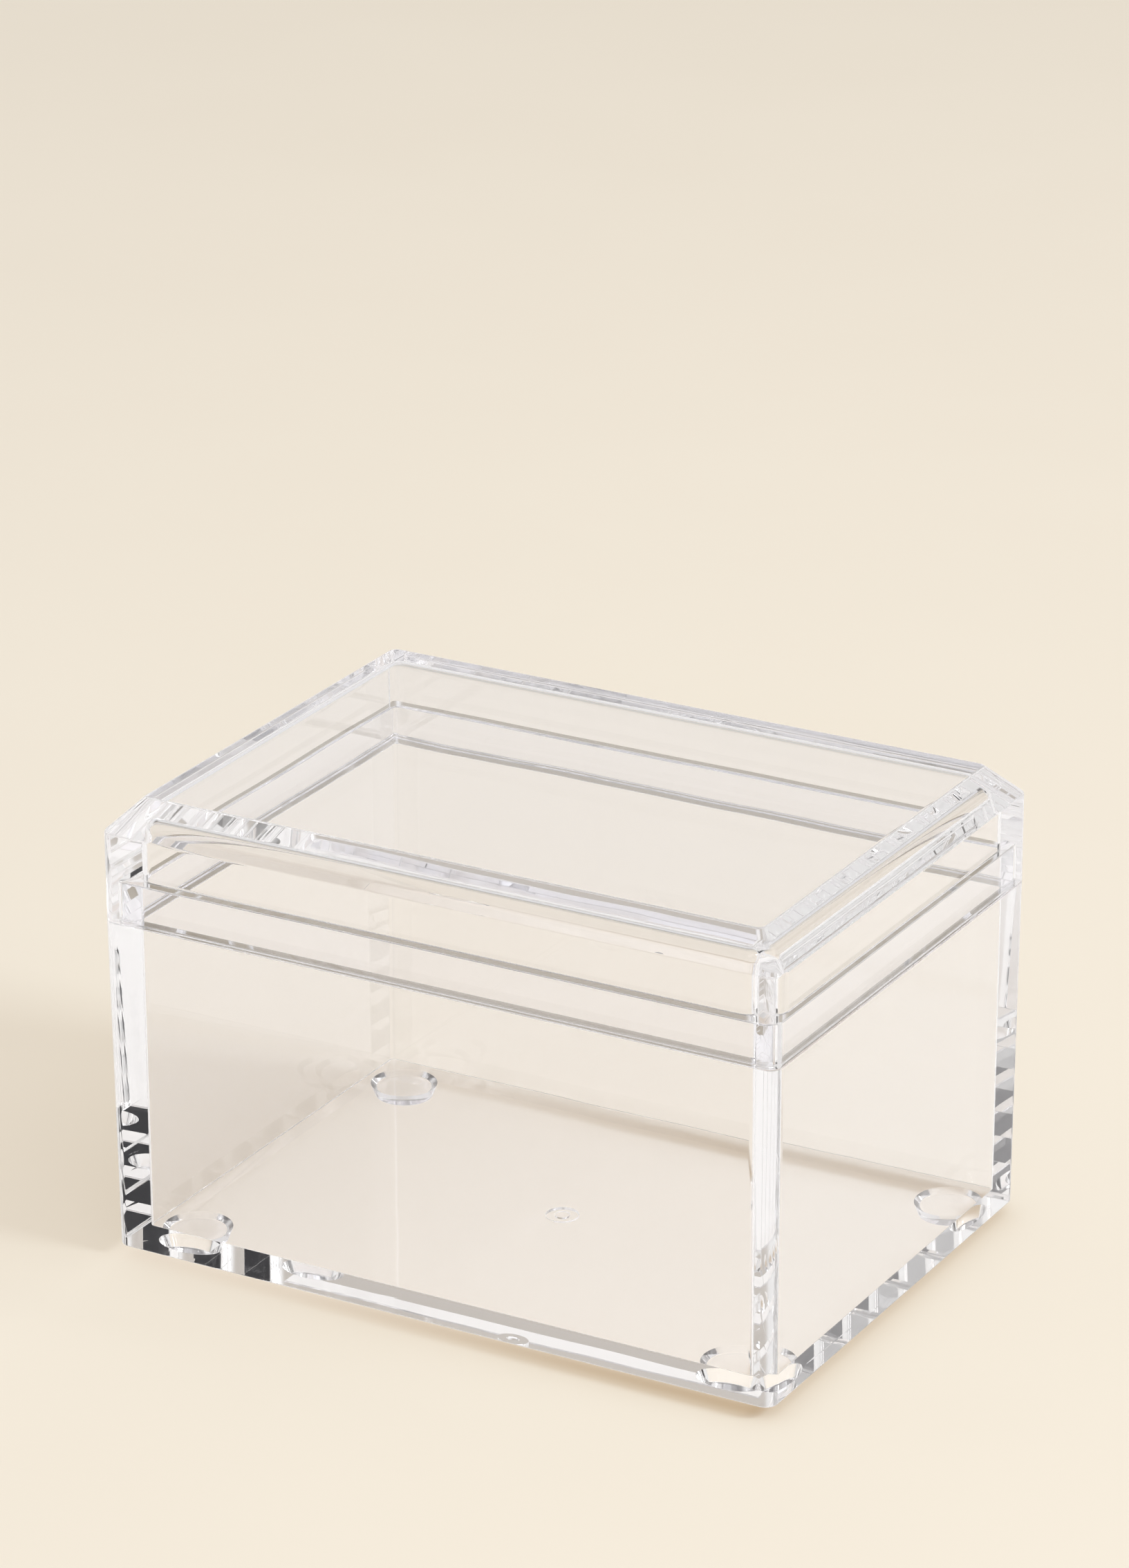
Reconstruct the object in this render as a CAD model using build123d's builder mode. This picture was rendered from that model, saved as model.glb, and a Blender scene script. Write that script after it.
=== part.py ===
from build123d import *

import os

os.makedirs("parts", exist_ok=True)

# Sizes of the whole box, in millimetres.
# X runs along the long front, Y to the back and Z up, from the surface that the feet stand on.
box_length = 110.0
box_depth = 79.4
wall = 4.8
corner_radius = 2.0
inner_corner_radius = 0.8
edge_round = 0.25
cut_overrun = 1.0

# Body: an open tray whose outside leans in a little towards its underside.
body_height = 51.9
floor_thickness = 3.1
body_draft = 0.4
floor_round = 0.6
gate_radius = 2.5
gate_depth = 0.4
gate_nub_radius = 1.1
gate_nub_height = 0.25

# Collar: a thin frame bonded on the body's rim, which the lid's skirt fits over.
collar_height = 6.0
collar_thickness = 2.7
collar_corner_radius = 1.0
collar_side_gap = 0.15
collar_edge_round = 0.2

# Lid: a shallow cap with a bevelled top edge.
lid_height = 18.7
ceiling_thickness = 4.6
bevel_height = 4.85
bevel_inset = 4.7
top_corner_radius = 1.2
ceiling_round = 2.0
hollow_corner_radius = 2.2
seat_gap = 0.05
collar_top_gap = 0.3

# Feet: clear discs bonded under the floor, one near each corner.
foot_height = 2.0
foot_radius = 5.2
foot_flat_radius = 4.4
foot_inset = 9.9
foot_edge_round = 0.2

# Levels that several pieces share.
underside = foot_height
floor_top = underside + floor_thickness
shoulder = underside + body_height
collar_top = shoulder + collar_height
skirt_edge = shoulder + seat_gap
lid_top = shoulder + lid_height
bevel_start = lid_top - bevel_height
lid_shelf = collar_top + collar_top_gap
lid_ceiling = lid_top - ceiling_thickness

# Plan sizes that several pieces share.
inside_length = box_length - 2 * wall
inside_depth = box_depth - 2 * wall
collar_inset = wall - collar_thickness
rebate_inset = collar_inset - collar_side_gap
rebate_radius = collar_corner_radius + collar_side_gap


def edges_at(part, level):
    """The edges of a part that lie flat at one height."""
    return part.edges().filter_by_position(Axis.Z, level, level)


def outline(inset, radius):
    """A rounded rectangle, a given distance inside the box's outline."""
    RectangleRounded(box_length - 2 * inset, box_depth - 2 * inset, radius)


# Body with its floor, walls and the moulding gate's mark under the floor.
with BuildPart() as box_body:
    with BuildSketch(Plane.XY.offset(underside)):
        outline(body_draft, corner_radius)
    with BuildSketch(Plane.XY.offset(shoulder)):
        outline(0, corner_radius)
    loft()
    fillet(edges_at(box_body, underside), edge_round)

    with BuildSketch(Plane.XY.offset(floor_top)):
        RectangleRounded(inside_length, inside_depth, inner_corner_radius)
    extrude(amount=shoulder - floor_top, mode=Mode.SUBTRACT)
    fillet(edges_at(box_body, floor_top), floor_round)

    with BuildSketch(Plane.XY.offset(underside)):
        Circle(gate_radius)
    extrude(amount=gate_depth, mode=Mode.SUBTRACT)
    with BuildSketch(Plane.XY.offset(underside + gate_depth)):
        Circle(gate_nub_radius)
    extrude(amount=-gate_nub_height)

box_body.part.label = "box_body"
export_step(box_body.part, "parts/box_body.step")


# Collar, with its outside face set in from the body's by the thickness of the lid's skirt.
with BuildPart() as collar:
    with BuildSketch(Plane.XY.offset(shoulder)):
        outline(collar_inset, collar_corner_radius)
        RectangleRounded(inside_length, inside_depth, inner_corner_radius, mode=Mode.SUBTRACT)
    extrude(amount=collar_height)
    fillet(edges_at(collar, collar_top), collar_edge_round)

collar.part.label = "collar"
export_step(collar.part, "parts/collar.step")


# Lid with its bevelled top, its hollow and the rebate that drops over the collar.
with BuildPart() as lid:
    with BuildSketch(Plane.XY.offset(skirt_edge)):
        outline(0, corner_radius)
    extrude(amount=bevel_start - skirt_edge)
    with BuildSketch(Plane.XY.offset(bevel_start)):
        outline(0, corner_radius)
    with BuildSketch(Plane.XY.offset(lid_top)):
        outline(bevel_inset, top_corner_radius)
    loft()
    fillet(edges_at(lid, lid_top), edge_round)

    with BuildSketch(Plane.XY.offset(skirt_edge - cut_overrun)):
        RectangleRounded(inside_length, inside_depth, hollow_corner_radius)
    extrude(amount=lid_ceiling - skirt_edge + cut_overrun, mode=Mode.SUBTRACT)
    fillet(edges_at(lid, lid_ceiling), ceiling_round)
    with BuildSketch(Plane.XY.offset(skirt_edge - cut_overrun)):
        outline(rebate_inset, rebate_radius)
    extrude(amount=lid_shelf - skirt_edge + cut_overrun, mode=Mode.SUBTRACT)
    fillet(edges_at(lid, skirt_edge), edge_round)

lid.part.label = "lid"
export_step(lid.part, "parts/lid.step")


# Four feet, each the same tapered disc under its own corner.
foot_x = box_length / 2 - foot_inset
foot_y = box_depth / 2 - foot_inset
foot_corners = {
    "foot_front_left": (-foot_x, -foot_y),
    "foot_front_right": (foot_x, -foot_y),
    "foot_back_left": (-foot_x, foot_y),
    "foot_back_right": (foot_x, foot_y),
}
for name, (x, y) in foot_corners.items():
    with BuildPart() as foot:
        with BuildSketch(Plane((x, y, 0))):
            Circle(foot_flat_radius)
        with BuildSketch(Plane((x, y, foot_height))):
            Circle(foot_radius)
        loft()
        fillet(edges_at(foot, 0), foot_edge_round)
    foot.part.label = name
    export_step(foot.part, f"parts/{name}.step")
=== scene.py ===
import math

import bpy
from mathutils import Matrix, Vector


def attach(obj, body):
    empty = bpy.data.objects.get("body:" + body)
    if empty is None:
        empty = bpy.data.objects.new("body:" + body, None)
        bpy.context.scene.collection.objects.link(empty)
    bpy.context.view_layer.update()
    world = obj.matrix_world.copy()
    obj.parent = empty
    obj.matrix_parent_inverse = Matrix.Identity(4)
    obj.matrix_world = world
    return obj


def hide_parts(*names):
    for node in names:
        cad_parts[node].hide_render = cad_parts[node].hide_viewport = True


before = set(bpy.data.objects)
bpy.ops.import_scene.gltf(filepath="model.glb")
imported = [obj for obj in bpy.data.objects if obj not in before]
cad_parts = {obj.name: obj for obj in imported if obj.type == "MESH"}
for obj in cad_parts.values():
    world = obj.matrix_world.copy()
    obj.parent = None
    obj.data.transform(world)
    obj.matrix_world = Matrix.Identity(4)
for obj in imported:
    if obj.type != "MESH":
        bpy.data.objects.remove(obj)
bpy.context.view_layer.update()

mm = 0.001
print("frame loaded")


# Camera, set up like the photograph's: a long lens, a little to the right of the long front and above it
cameraSettings = {
    "azimuth": 29.56,          # degrees round from the long front
    "elevation": 21.66,        # degrees above the horizon
    "roll": -0.23,
    "distance": 892.5 * mm,
    "aimHeight": 35.0 * mm,
    "slideRight": -0.55 * mm,  # how far the camera stands off the line through the box's middle
    "slideUp": 34.4 * mm,
    "lens": 139.41,
}


def towards(azimuth, elevation):
    turn = math.radians(azimuth)
    rise = math.radians(elevation)
    return Vector((math.sin(turn) * math.cos(rise), -math.cos(turn) * math.cos(rise), math.sin(rise)))


def makeCamera(settings):
    roll = math.radians(settings["roll"])
    back = towards(settings["azimuth"], settings["elevation"])
    levelRight = towards(settings["azimuth"] + 90, 0)
    levelUp = back.cross(levelRight)
    right = levelRight * math.cos(roll) + levelUp * math.sin(roll)
    up = levelUp * math.cos(roll) - levelRight * math.sin(roll)
    place = Vector((0, 0, settings["aimHeight"])) + back * settings["distance"]
    place += right * settings["slideRight"] + up * settings["slideUp"]
    bpy.ops.object.camera_add()
    camera = bpy.context.object
    camera.data.lens = settings["lens"]
    camera.matrix_world = Matrix.Translation(place) @ Matrix((right, up, back)).transposed().to_4x4()
    bpy.context.scene.camera = camera


makeCamera(cameraSettings)
print("camera made")


# Shader maths: a wire is one socket of a node tree, and sums on it add Math nodes
class Wire:
    def __init__(self, sheet, socket):
        self.sheet = sheet
        self.socket = socket

    def joined(self, operation, first, second):
        return self.sheet.node("ShaderNodeMath", {"operation": operation}, {0: first, 1: second})["Value"]

    def __add__(self, other):
        return self.joined("ADD", self, other)

    def __radd__(self, other):
        return self.joined("ADD", other, self)

    def __sub__(self, other):
        return self.joined("SUBTRACT", self, other)

    def __rsub__(self, other):
        return self.joined("SUBTRACT", other, self)

    def __mul__(self, other):
        return self.joined("MULTIPLY", self, other)

    def __rmul__(self, other):
        return self.joined("MULTIPLY", other, self)

    def larger(self, other):
        return self.joined("MAXIMUM", self, other)

    def size(self):
        return self.joined("ABSOLUTE", self, 0)


class NodeSheet:
    def __init__(self, tree):
        self.tree = tree
        self.tree.nodes.clear()

    def plug(self, socket, value):
        if isinstance(value, Wire):
            self.tree.links.new(value.socket, socket)
        else:
            socket.default_value = value

    def node(self, kind, settings, sockets):
        made = self.tree.nodes.new(kind)
        for name, value in settings.items():
            setattr(made, name, value)
        for name, value in sockets.items():
            self.plug(made.inputs[name], value)
        return {output.name: Wire(self, output) for output in made.outputs if output.enabled}

    def smoothShare(self, value, edge):
        return self.node("ShaderNodeMapRange", {"interpolation_type": "SMOOTHSTEP"}, {
            "Value": value, "From Min": edge[0], "From Max": edge[1], "To Min": 0.0, "To Max": 1.0,
        })["Result"]

    def mixColour(self, share, first, second):
        # a Mix node's two colours are its sockets 6 and 7
        return self.node("ShaderNodeMix", {"data_type": "RGBA"}, {0: share, 6: first, 7: second})["Result"]

    def mixShader(self, share, first, second):
        return self.node("ShaderNodeMixShader", {}, {0: share, 1: first, 2: second})["Shader"]

    def letThrough(self, colour):
        return self.node("ShaderNodeBsdfTransparent", {}, {"Color": colour})["BSDF"]

    def show(self, shader):
        self.node("ShaderNodeOutputMaterial", {}, {"Surface": shader})


def newMaterial(name):
    material = bpy.data.materials.new(name)
    material.use_nodes = True
    return material, NodeSheet(material.node_tree)


# Clear acrylic. The eye and the reflections see a refracting glass-like surface with faint moulding waves.
# Light on its way to the paper isn't refracted: it goes straight through and is tinted by each face, by
# where that face is, which gives the soft shadow of a clear box
acrylicSettings = {
    "ior": 1.49,
    "tint": (0.985, 0.985, 1.0, 1),
    "waveSize": 16.0 * mm,
    "waveDepth": 0.025 * mm,
    "waveDetail": 0.0,
    "straightLight": (0.996, 0.996, 0.996, 1),  # what one face lets through, struck squarely
    "glancingLight": (0.96, 0.95, 0.94, 1),     # and struck at a slant
    "slantBlend": 0.5,
    "slantEdge": (0.5, 0.9),
    "paintedUnderLight": (1.14, 1.155, 1.20, 1),       # painted light: the paper under the floor is lit brighter than the faces let through
    "underLevel": 3.0 * mm,
    "underEdge": (0.0, 0.2 * mm),
    "paintedWallShade": (0.56, 0.44, 0.30, 1),         # painted shade: a warm dark strip on the paper under the walls, standing in for the light the walls carry away
    "wallStart": 49.6 * mm,                     # where the walls start, from the middle of the length
    "wallStartDepth": 34.3 * mm,                # and from the middle of the depth
    "wallEdge": (0.0, 1.2 * mm),
    "wallRange": (-60 * mm, 50 * mm),           # the painted shadow deepens along the length
    "wallLeast": 0.3,                           # its share at the start of that range
    "paintedFarShade": (0.66, 0.61, 0.56, 1),          # painted shadow: the outer face of the wall away from the key light lets less through, which darkens the paper beside it
    "farEdge": (54.0 * mm, 54.3 * mm),
}


def makeAcrylic(name, s):
    material, sheet = newMaterial(name)
    place = sheet.node("ShaderNodeTexCoord", {}, {})["Object"]
    waves = sheet.node("ShaderNodeTexNoise", {}, {
        "Vector": place, "Scale": 1 / s["waveSize"], "Detail": s["waveDetail"],
    })
    bump = sheet.node("ShaderNodeBump", {}, {
        "Height": waves["Fac"], "Strength": 1.0, "Distance": s["waveDepth"],
    })
    seen = sheet.node("ShaderNodeBsdfPrincipled", {}, {
        "Base Color": s["tint"], "Transmission Weight": 1.0, "IOR": s["ior"], "Roughness": 0.0,
        "Normal": bump["Normal"],
    })["BSDF"]

    parts = sheet.node("ShaderNodeSeparateXYZ", {}, {"Vector": place})
    along, across, level = parts["X"], parts["Y"], parts["Z"]
    slant = sheet.node("ShaderNodeLayerWeight", {}, {"Blend": s["slantBlend"]})["Facing"]
    underFloor = sheet.smoothShare(s["underLevel"] - level, s["underEdge"])
    nearWall = (along.size() - s["wallStart"]).larger(across.size() - s["wallStartDepth"])
    wallShare = s["wallLeast"] + (1 - s["wallLeast"]) * sheet.smoothShare(along, s["wallRange"])
    # painted shade: under the walls the faces let through a warm, dark colour, deeper along the length
    paintedShadeUnderWalls = sheet.smoothShare(nearWall, s["wallEdge"]) * underFloor * wallShare
    shade = sheet.mixShader(
        sheet.smoothShare(slant, s["slantEdge"]),
        sheet.letThrough(s["straightLight"]),
        sheet.letThrough(s["glancingLight"]),
    )
    # painted light: faces under the floor level let more light through than reaches them, which brightens the
    # paper beneath
    shade = sheet.mixShader(underFloor, shade, sheet.letThrough(s["paintedUnderLight"]))
    shade = sheet.mixShader(paintedShadeUnderWalls, shade, sheet.letThrough(s["paintedWallShade"]))
    # painted shadow: the outer face on the side away from the key light lets less light through
    paintedShadeFarSide = sheet.smoothShare(0 - along, s["farEdge"])
    shade = sheet.mixShader(paintedShadeFarSide, shade, sheet.letThrough(s["paintedFarShade"]))

    path = sheet.node("ShaderNodeLightPath", {}, {})
    sheet.show(sheet.mixShader(path["Is Shadow Ray"] + path["Is Diffuse Ray"], seen, shade))
    return material


# A bonded joint: two faces that touch all over, so light goes through them as if they weren't there
def makeBond(name):
    material, sheet = newMaterial(name)
    sheet.show(sheet.node("ShaderNodeBsdfPrincipled", {}, {"Base Color": (1, 1, 1, 1), "Alpha": 0.0})["BSDF"])
    return material


acrylic = makeAcrylic("clearAcrylic", acrylicSettings)
bond = makeBond("bondedFace")
print("materials made")


# Sizes that the pieces share, as in the CAD
boxSettings = {
    "length": 110.0 * mm,
    "depth": 79.4 * mm,
    "wall": 4.8 * mm,
    "cornerRadius": 2.0 * mm,
    "innerRadius": 0.8 * mm,
    "underside": 2.0 * mm,
    "shoulder": 53.9 * mm,
}

meshSettings = {
    "arcSegments": 14,                  # in each corner of a ring
    "roundSegments": 72,                # in the feet and in the round cuts
    "fineSteps": 2,                     # in the rounding of an edge
    "smallSteps": 3,
    "edgeSteps": 4,
    "wideSteps": 8,
    "sharpAngle": 30,                   # degrees
    "flatWeight": 100,                  # how far large flat faces rule the shading beside them
    "mergeDistance": 0.0005 * mm,
    "nearEnough": 0.01 * mm,            # for telling which ring an edge lies on
    "stackLevel": 1.0,                  # rings are bridged this high up, in metres, and this far apart
    "stackStep": 0.1,
}


# Modelling helpers. A ring is one outline of the box: how far in it lies, its corner radius and its level
bpy.context.tool_settings.mesh_select_mode = (False, True, False)     # edges


def deselectObjects():
    if bpy.context.object and bpy.context.object.mode == "EDIT":
        bpy.ops.object.mode_set(mode="OBJECT")
    bpy.ops.object.select_all(action="DESELECT")


def activate(piece):
    deselectObjects()
    piece.select_set(True)
    bpy.context.view_layer.objects.active = piece


def deselectMesh(piece):
    for items in (piece.data.polygons, piece.data.vertices, piece.data.edges):
        for item in items:
            item.select = False


def addRing(ring, keepFace):
    inset, radius, level = ring
    deselectObjects()
    bpy.ops.mesh.primitive_plane_add(size=1, location=(0, 0, level))
    piece = bpy.context.object
    piece.scale = (boxSettings["length"] - 2 * inset, boxSettings["depth"] - 2 * inset, 1)
    bpy.ops.object.transform_apply(location=True, rotation=True, scale=True)
    bpy.ops.object.mode_set(mode="EDIT")
    bpy.ops.mesh.select_all(action="SELECT")
    bpy.ops.mesh.bevel(offset=radius, segments=meshSettings["arcSegments"], affect="VERTICES")
    if not keepFace:
        bpy.ops.mesh.select_all(action="SELECT")
        bpy.ops.mesh.delete(type="ONLY_FACE")
    bpy.ops.object.mode_set(mode="OBJECT")
    return piece


def isOnRing(point, ring):
    inset, radius, level = ring
    acrossX = abs(point.x) - (boxSettings["length"] / 2 - inset - radius)
    acrossY = abs(point.y) - (boxSettings["depth"] / 2 - inset - radius)
    outside = math.hypot(max(acrossX, 0), max(acrossY, 0)) + min(max(acrossX, acrossY), 0) - radius
    return abs(outside) < meshSettings["nearEnough"] and abs(point.z - level) < meshSettings["nearEnough"]


def selectRings(piece, *rings):
    activate(piece)
    deselectMesh(piece)
    for edge in piece.data.edges:
        ends = [piece.data.vertices[index].co for index in edge.vertices]
        edge.select = any(all(isOnRing(end, ring) for end in ends) for ring in rings)
    bpy.ops.object.mode_set(mode="EDIT")


def bridgeRings(rings, isFrame=False):
    # Each ring is bridged to the next. A shell keeps the faces of its first and last rings, and a frame comes
    # back to its first ring. The rings are bridged one high above the other, so that no bridge twists, and
    # are then brought to their levels
    if isFrame:
        rings = rings + rings[:1]
    step = meshSettings["stackStep"]
    raised = [
        (inset, radius, meshSettings["stackLevel"] + place * step)
        for place, (inset, radius, level) in enumerate(rings)
    ]
    faced = () if isFrame else (0, len(rings) - 1)
    pieces = [addRing(ring, place in faced) for place, ring in enumerate(raised)]
    deselectObjects()
    for piece in pieces:
        piece.select_set(True)
    bpy.context.view_layer.objects.active = pieces[0]
    bpy.ops.object.join()
    shell = bpy.context.object
    for first, second in zip(raised, raised[1:]):
        selectRings(shell, first, second)
        bpy.ops.mesh.bridge_edge_loops()
    for high, ring in zip(raised, rings):
        selectRings(shell, high)
        bpy.ops.transform.translate(value=(0, 0, ring[2] - high[2]))
    bpy.ops.mesh.select_all(action="SELECT")
    bpy.ops.mesh.remove_doubles(threshold=meshSettings["mergeDistance"])
    bpy.ops.mesh.normals_make_consistent(inside=False)
    return shell


def roundRing(piece, ring, width, steps):
    selectRings(piece, ring)
    segments = meshSettings[steps]
    bpy.ops.mesh.bevel(offset=width, offset_type="OFFSET", segments=segments, profile=0.5, affect="EDGES")


def cutDisc(piece, place, radius, lowEnd, highEnd, material):
    deselectObjects()
    bpy.ops.mesh.primitive_cylinder_add(
        vertices=meshSettings["roundSegments"], radius=radius, depth=highEnd - lowEnd,
        location=(place[0], place[1], (lowEnd + highEnd) / 2),
    )
    cutter = bpy.context.object
    bpy.ops.object.transform_apply(location=True, rotation=True, scale=True)
    cutter.data.materials.append(material)
    activate(piece)
    cut = piece.modifiers.new("cut", "BOOLEAN")
    cut.operation = "DIFFERENCE"
    cut.object = cutter
    cut.solver = "EXACT"
    cut.material_mode = "TRANSFER"
    bpy.ops.object.modifier_apply(modifier="cut")
    bpy.data.objects.remove(cutter)


def finishMesh(piece):
    activate(piece)
    bpy.ops.object.mode_set(mode="EDIT")
    bpy.ops.mesh.select_all(action="SELECT")
    bpy.ops.mesh.remove_doubles(threshold=meshSettings["mergeDistance"])
    bpy.ops.mesh.normals_make_consistent(inside=False)
    bpy.ops.object.mode_set(mode="OBJECT")
    bpy.ops.object.shade_smooth_by_angle(angle=math.radians(meshSettings["sharpAngle"]))
    flat = piece.modifiers.new("flatFaces", "WEIGHTED_NORMAL")
    flat.keep_sharp = True
    flat.weight = meshSettings["flatWeight"]
    bpy.ops.object.modifier_apply(modifier="flatFaces")


def declare(piece, node, body):
    # the piece stands for a CAD node and moves with its body
    piece.name = "clear_" + node
    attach(piece, body)
    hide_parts(node)


# Collar: the thin frame on the body's rim, with a hair's breadth of air under it, which shows as the seam
collarSettings = {
    "inset": 2.1 * mm,
    "radius": 1.0 * mm,
    "seam": 0.05 * mm,
    "top": 59.9 * mm,
    "edgeRound": 0.05 * mm,
}


def makeCollar(s, box):
    low = box["shoulder"] + s["seam"]
    rings = [
        (s["inset"], s["radius"], low),
        (s["inset"], s["radius"], s["top"]),
        (box["wall"], box["innerRadius"], s["top"]),
        (box["wall"], box["innerRadius"], low),
    ]
    collar = bridgeRings(rings, isFrame=True)
    for ring in rings:
        roundRing(collar, ring, s["edgeRound"], "fineSteps")
    finishMesh(collar)
    collar.data.materials.append(acrylic)
    declare(collar, "collar", "box")


makeCollar(collarSettings, boxSettings)


# Body: an open tray whose outside leans in a little towards its underside
bodySettings = {
    "floorTop": 5.1 * mm,
    "draft": 0.4 * mm,
    "edgeRound": 0.25 * mm,
    "shoulderRound": 0.06 * mm,
    "floorRound": 0.12 * mm,
}


def makeBody(s, box):
    foot = (s["draft"], box["cornerRadius"], box["underside"])
    shoulder = (0, box["cornerRadius"], box["shoulder"])
    mouth = (box["wall"], box["innerRadius"], box["shoulder"])
    floor = (box["wall"], box["innerRadius"], s["floorTop"])
    body = bridgeRings([foot, shoulder, mouth, floor])
    roundRing(body, foot, s["edgeRound"], "edgeSteps")
    roundRing(body, shoulder, s["shoulderRound"], "smallSteps")
    roundRing(body, mouth, s["shoulderRound"], "smallSteps")
    roundRing(body, floor, s["floorRound"], "smallSteps")
    finishMesh(body)
    body.data.materials.append(acrylic)
    return body


body = makeBody(bodySettings, boxSettings)


# Lid: a shallow cap with a bevelled top edge, a hollow, and a rebate that drops over the collar
lidSettings = {
    "skirtEdge": 53.95 * mm,
    "bevelStart": 67.75 * mm,
    "top": 72.6 * mm,
    "bevelInset": 4.7 * mm,
    "topRadius": 1.2 * mm,
    "rebateInset": 1.95 * mm,
    "rebateRadius": 1.15 * mm,
    "shelf": 60.2 * mm,
    "ceiling": 68.0 * mm,
    "hollowRadius": 2.2 * mm,
    "ceilingRound": 2.0 * mm,
    "shelfRound": 0.25 * mm,
    "skirtRound": 0.25 * mm,
    "bevelRound": 0.2 * mm,
    "topRound": 0.25 * mm,
}


def makeLid(s, box):
    ceiling = (box["wall"], s["hollowRadius"], s["ceiling"])
    shelf = (box["wall"], s["hollowRadius"], s["shelf"])
    rebateTop = (s["rebateInset"], s["rebateRadius"], s["shelf"])
    rebateEdge = (s["rebateInset"], s["rebateRadius"], s["skirtEdge"])
    skirtEdge = (0, box["cornerRadius"], s["skirtEdge"])
    bevelEdge = (0, box["cornerRadius"], s["bevelStart"])
    topEdge = (s["bevelInset"], s["topRadius"], s["top"])
    lid = bridgeRings([ceiling, shelf, rebateTop, rebateEdge, skirtEdge, bevelEdge, topEdge])
    roundRing(lid, ceiling, s["ceilingRound"], "wideSteps")
    roundRing(lid, shelf, s["shelfRound"], "smallSteps")
    roundRing(lid, rebateTop, s["shelfRound"], "smallSteps")
    roundRing(lid, rebateEdge, s["skirtRound"], "edgeSteps")
    roundRing(lid, skirtEdge, s["skirtRound"], "edgeSteps")
    roundRing(lid, bevelEdge, s["bevelRound"], "edgeSteps")
    roundRing(lid, topEdge, s["topRound"], "edgeSteps")
    finishMesh(lid)
    lid.data.materials.append(acrylic)
    return lid


lid = makeLid(lidSettings, boxSettings)


# Feet: tapered discs bonded under the floor. Each goes a hair into the floor, where bonded faces meet
footSettings = {
    "height": 2.0 * mm,
    "radius": 5.2 * mm,
    "flatRadius": 4.4 * mm,
    "inset": 9.9 * mm,
    "edgeRound": 0.2 * mm,
    "bondDepth": 0.02 * mm,
    "cutStart": 1.0 * mm,
    "spots": {
        "foot_front_left": (-1, -1),
        "foot_front_right": (1, -1),
        "foot_back_left": (-1, 1),
        "foot_back_right": (1, 1),
    },
}


def makeFoot(s, place):
    height = s["height"] + s["bondDepth"]
    deselectObjects()
    bpy.ops.mesh.primitive_cone_add(
        vertices=meshSettings["roundSegments"], radius1=s["flatRadius"], radius2=s["radius"], depth=height,
        location=(place[0], place[1], height / 2),
    )
    foot = bpy.context.object
    bpy.ops.object.transform_apply(location=True, rotation=True, scale=True)
    foot.data.materials.append(acrylic)
    foot.data.materials.append(bond)
    for polygon in foot.data.polygons:
        polygon.material_index = 1 if polygon.center.z > s["height"] else 0
    deselectMesh(foot)
    for edge in foot.data.edges:
        ends = [foot.data.vertices[index].co for index in edge.vertices]
        edge.select = all(end.z < meshSettings["nearEnough"] for end in ends)
    bpy.ops.object.mode_set(mode="EDIT")
    bpy.ops.mesh.select_mode(type="EDGE")
    bpy.ops.mesh.bevel(offset=s["edgeRound"], segments=meshSettings["edgeSteps"], affect="EDGES")
    finishMesh(foot)
    return foot


def addFeet(body, s, box):
    for node, (sideX, sideY) in s["spots"].items():
        spot = (sideX * (box["length"] / 2 - s["inset"]), sideY * (box["depth"] / 2 - s["inset"]))
        declare(makeFoot(s, spot), node, "box")
        cutDisc(body, spot, s["radius"], s["cutStart"], box["underside"] + s["bondDepth"], bond)


addFeet(body, footSettings, boxSettings)


# Gate mark: a shallow round recess in the middle of the underside, with the moulding gate's stub in it
gateSettings = {
    "radius": 2.5 * mm,
    "depth": 0.4 * mm,
    "cutStart": 1.0 * mm,
    "stubRadius": 1.1 * mm,
    "stubHeight": 0.25 * mm,
}


def addGate(body, s, box):
    roof = box["underside"] + s["depth"]
    cutDisc(body, (0, 0), s["radius"], s["cutStart"], roof, acrylic)
    deselectMesh(body)
    for polygon in body.data.polygons:
        isRoof = abs(polygon.center.z - roof) < meshSettings["nearEnough"]
        polygon.select = isRoof and math.hypot(polygon.center.x, polygon.center.y) < s["stubRadius"]
    bpy.ops.object.mode_set(mode="EDIT")
    bpy.ops.mesh.select_mode(type="FACE")
    bpy.ops.mesh.inset(thickness=s["radius"] - s["stubRadius"])
    bpy.ops.mesh.extrude_region_move(TRANSFORM_OT_translate={"value": (0, 0, -s["stubHeight"])})
    bpy.ops.mesh.select_mode(type="EDGE")
    finishMesh(body)


addGate(body, gateSettings, boxSettings)
declare(body, "box_body", "box")
declare(lid, "lid", "lid")
print("box made")


# Floor: warm pale paper
floorSettings = {
    "size": 8.0,
    "colour": (0.925, 0.855, 0.742, 1),
    "darkColour": (0.900, 0.825, 0.710, 1),
    "mottleSize": 90.0 * mm,
    "mottleDetail": 3.0,
    "roughness": 0.8,
    "shine": 0.0,
    "paintedReflectionColour": (0.965, 0.95, 0.94, 1),    # painted reflection: the paper turns whiter where it is seen in reflections, standing in for the white walls of a room
    "mirroredEdge": (0.0, 1.0),
    "footGap": 0.1 * mm,                         # so that light reaches the paper under the feet
}


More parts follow.
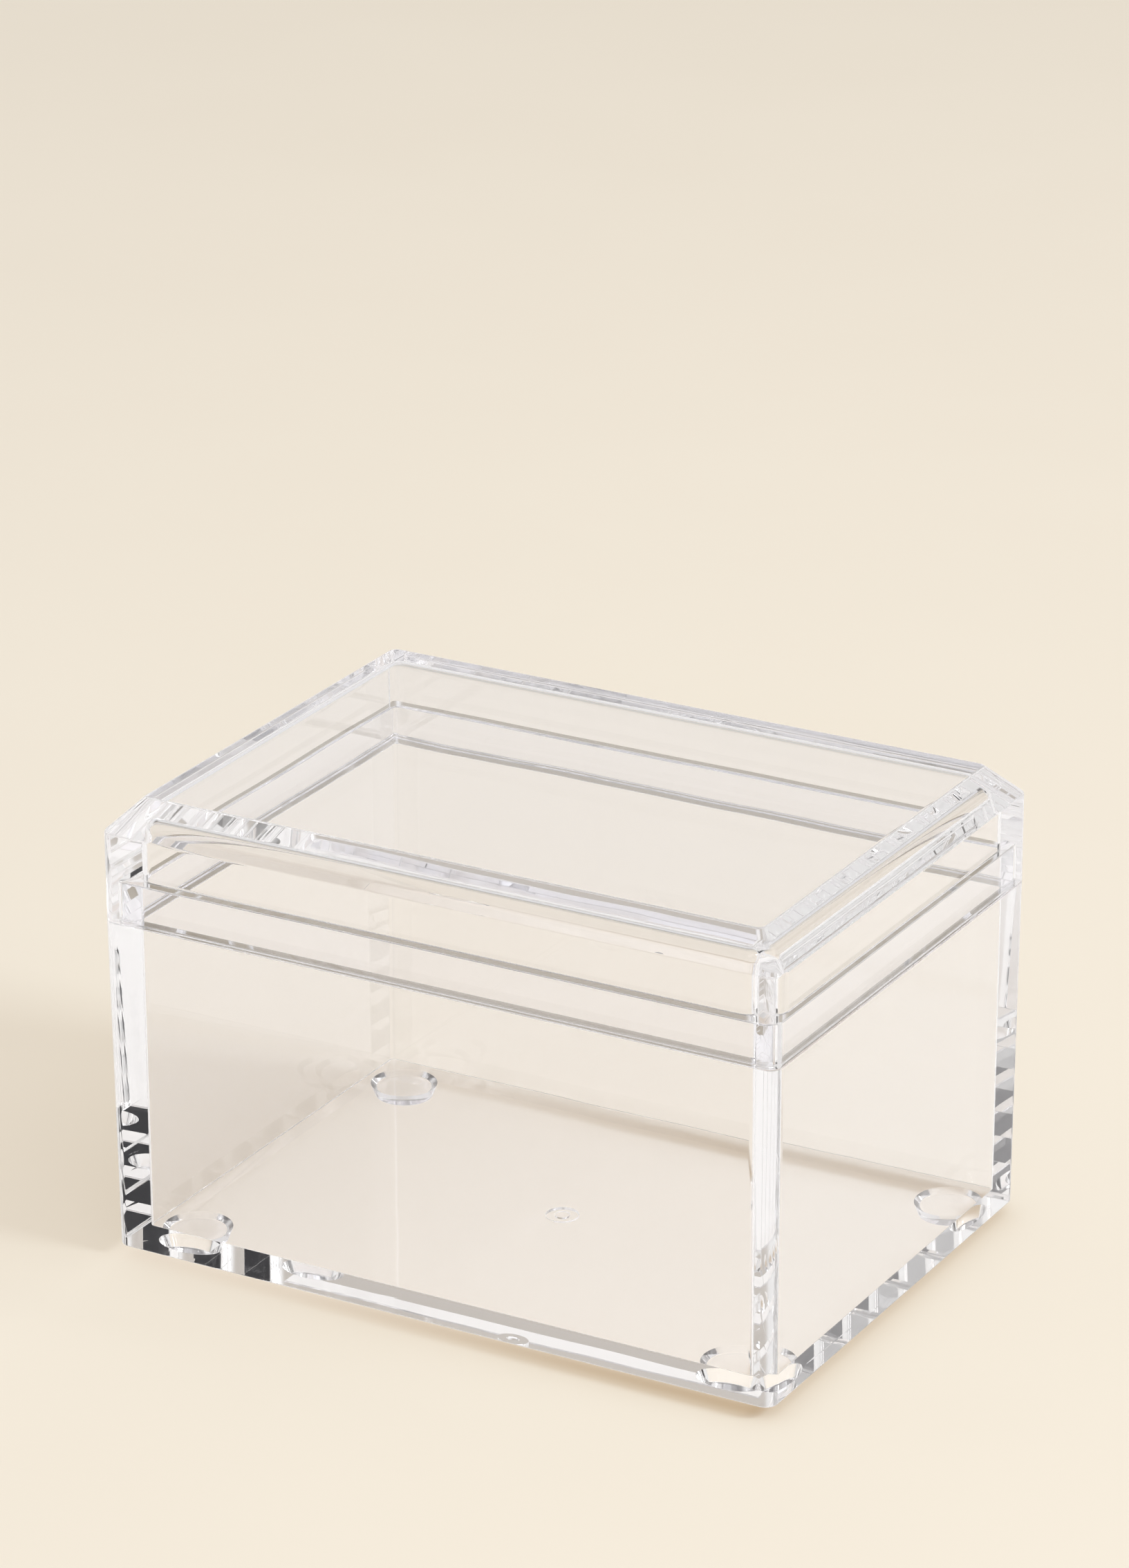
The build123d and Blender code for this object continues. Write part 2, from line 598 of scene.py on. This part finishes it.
def makeFloor(s):
    deselectObjects()
    bpy.ops.mesh.primitive_plane_add(size=s["size"], location=(0, 0, -s["footGap"]))
    floor = bpy.context.object
    floor.name = "floor"
    material, sheet = newMaterial("floorPaper")
    place = sheet.node("ShaderNodeTexCoord", {}, {})["Object"]
    mottle = sheet.node("ShaderNodeTexNoise", {}, {
        "Vector": place, "Scale": 1 / s["mottleSize"], "Detail": s["mottleDetail"],
    })
    path = sheet.node("ShaderNodeLightPath", {}, {})
    # painted reflection: seen in reflections, the paper takes a whiter colour
    inReflections = sheet.smoothShare(path["Glossy Depth"], s["mirroredEdge"])
    paper = sheet.mixColour(mottle["Fac"], s["darkColour"], s["colour"])
    sheet.show(sheet.node("ShaderNodeBsdfPrincipled", {}, {
        "Base Color": sheet.mixColour(inReflections, paper, s["paintedReflectionColour"]),
        "Roughness": s["roughness"], "Specular IOR Level": s["shine"],
    })["BSDF"])
    floor.data.materials.append(material)


makeFloor(floorSettings)


# The room as the clear faces see it: a pale wall all round, with darker or brighter parts to the sides
worldSettings = {
    "wall": (0.86, 0.845, 0.825, 1),
    "overhead": (0.22, 0.21, 0.20, 1),
    "overheadEdge": (0.55, 0.85),            # heights on the unit sphere where the overhead starts
    "cast": (0.96, 0.945, 0.92, 1),          # what the paper is lit by
    "castStrength": 0.63,
    "seenStrength": 1.0,                     # in the clear faces and by the camera
    "nearReflections": (1.2, 2.0),           # a part's near colour shows in the first reflections
    "nearFaces": (2.4, 3.2),                 # and its through colour shows past this many faces
    "parts": [
        {"azimuth": -150.4, "elevation": 21.7, "edge": (0.90, 0.99), "colour": (0.575, 0.53, 0.48, 1),
         "nearColour": (0.80, 0.79, 0.79, 1), "throughColour": (0.40, 0.345, 0.26, 1)},
        {"azimuth": 150.4, "elevation": 21.7, "edge": (0.965, 0.985), "colour": (0.012, 0.012, 0.016, 1),
         "deepEdge": (8.2, 10.0)},           # it doesn't show after this many reflections
        {"azimuth": -29.6, "elevation": 21.7, "edge": (0.80, 0.985), "colour": (0.20, 0.195, 0.20, 1),
         "deepEdge": (13.0, 15.0)},
        {"azimuth": 29.6, "elevation": 21.7, "edge": (0.80, 0.95), "colour": (0.04, 0.04, 0.045, 1)},
    ],
}


def makeWorld(s):
    world = bpy.data.worlds.new("studio")
    bpy.context.scene.world = world
    world.use_nodes = True
    sheet = NodeSheet(world.node_tree)
    place = sheet.node("ShaderNodeTexCoord", {}, {})["Generated"]
    height = sheet.node("ShaderNodeSeparateXYZ", {}, {"Vector": place})["Z"]
    path = sheet.node("ShaderNodeLightPath", {}, {})
    through = sheet.smoothShare(path["Transmission Depth"], s["nearFaces"])
    near = (1 - sheet.smoothShare(path["Glossy Depth"], s["nearReflections"])) * (1 - through)
    colour = sheet.mixColour(sheet.smoothShare(height, s["overheadEdge"]), s["wall"], s["overhead"])
    for part in s["parts"]:
        facing = sheet.node("ShaderNodeVectorMath", {"operation": "DOT_PRODUCT"}, {
            0: place, 1: towards(part["azimuth"], part["elevation"]),
        })["Value"]
        share = sheet.smoothShare(facing, part["edge"])
        if "deepEdge" in part:
            share = share * (1 - sheet.smoothShare(path["Glossy Depth"], part["deepEdge"]))
        shown = part["colour"]
        if "nearColour" in part:
            shown = sheet.mixColour(near, shown, part["nearColour"])
            shown = sheet.mixColour(through, shown, part["throughColour"])
        colour = sheet.mixColour(share, colour, shown)
    onPaper = path["Is Diffuse Ray"]
    colour = sheet.mixColour(onPaper, colour, s["cast"])
    strength = s["seenStrength"] + (s["castStrength"] - s["seenStrength"]) * onPaper
    light = sheet.node("ShaderNodeBackground", {}, {"Color": colour, "Strength": strength})
    sheet.node("ShaderNodeOutputWorld", {}, {"Surface": light["Background"]})


makeWorld(worldSettings)


# Softboxes: a key light from the right, and a weak one above the front
lampSettings = {
    "keyLight": {
        "place": (3.08, 0.38, 2.31), "aim": (-0.1, 0.1, 0), "size": 1.12, "spread": 60, "power": 9.1,
    },
    "topLight": {
        "place": (0.5, -0.8, 1.1), "aim": (0, -0.05, 0.03), "size": 0.8, "spread": 180, "power": 2.5,
    },
}


def addSoftbox(name, s):
    bpy.ops.object.light_add(type="AREA", location=s["place"])
    lamp = bpy.context.object
    lamp.name = name
    lamp.data.size = s["size"]
    lamp.data.spread = math.radians(s["spread"])
    lamp.data.energy = s["power"]
    lamp.rotation_mode = "QUATERNION"
    lamp.rotation_quaternion = (Vector(s["place"]) - Vector(s["aim"])).to_track_quat("Z", "Y")


for lampName, lampPlan in lampSettings.items():
    addSoftbox(lampName, lampPlan)


# Clear walls carry light round the box, so its path may be long
longestPath = 128

scene = bpy.context.scene
scene.view_settings.view_transform = "Standard"
scene.cycles.max_bounces = longestPath
scene.cycles.glossy_bounces = longestPath
scene.cycles.transmission_bounces = longestPath
print("lights made")
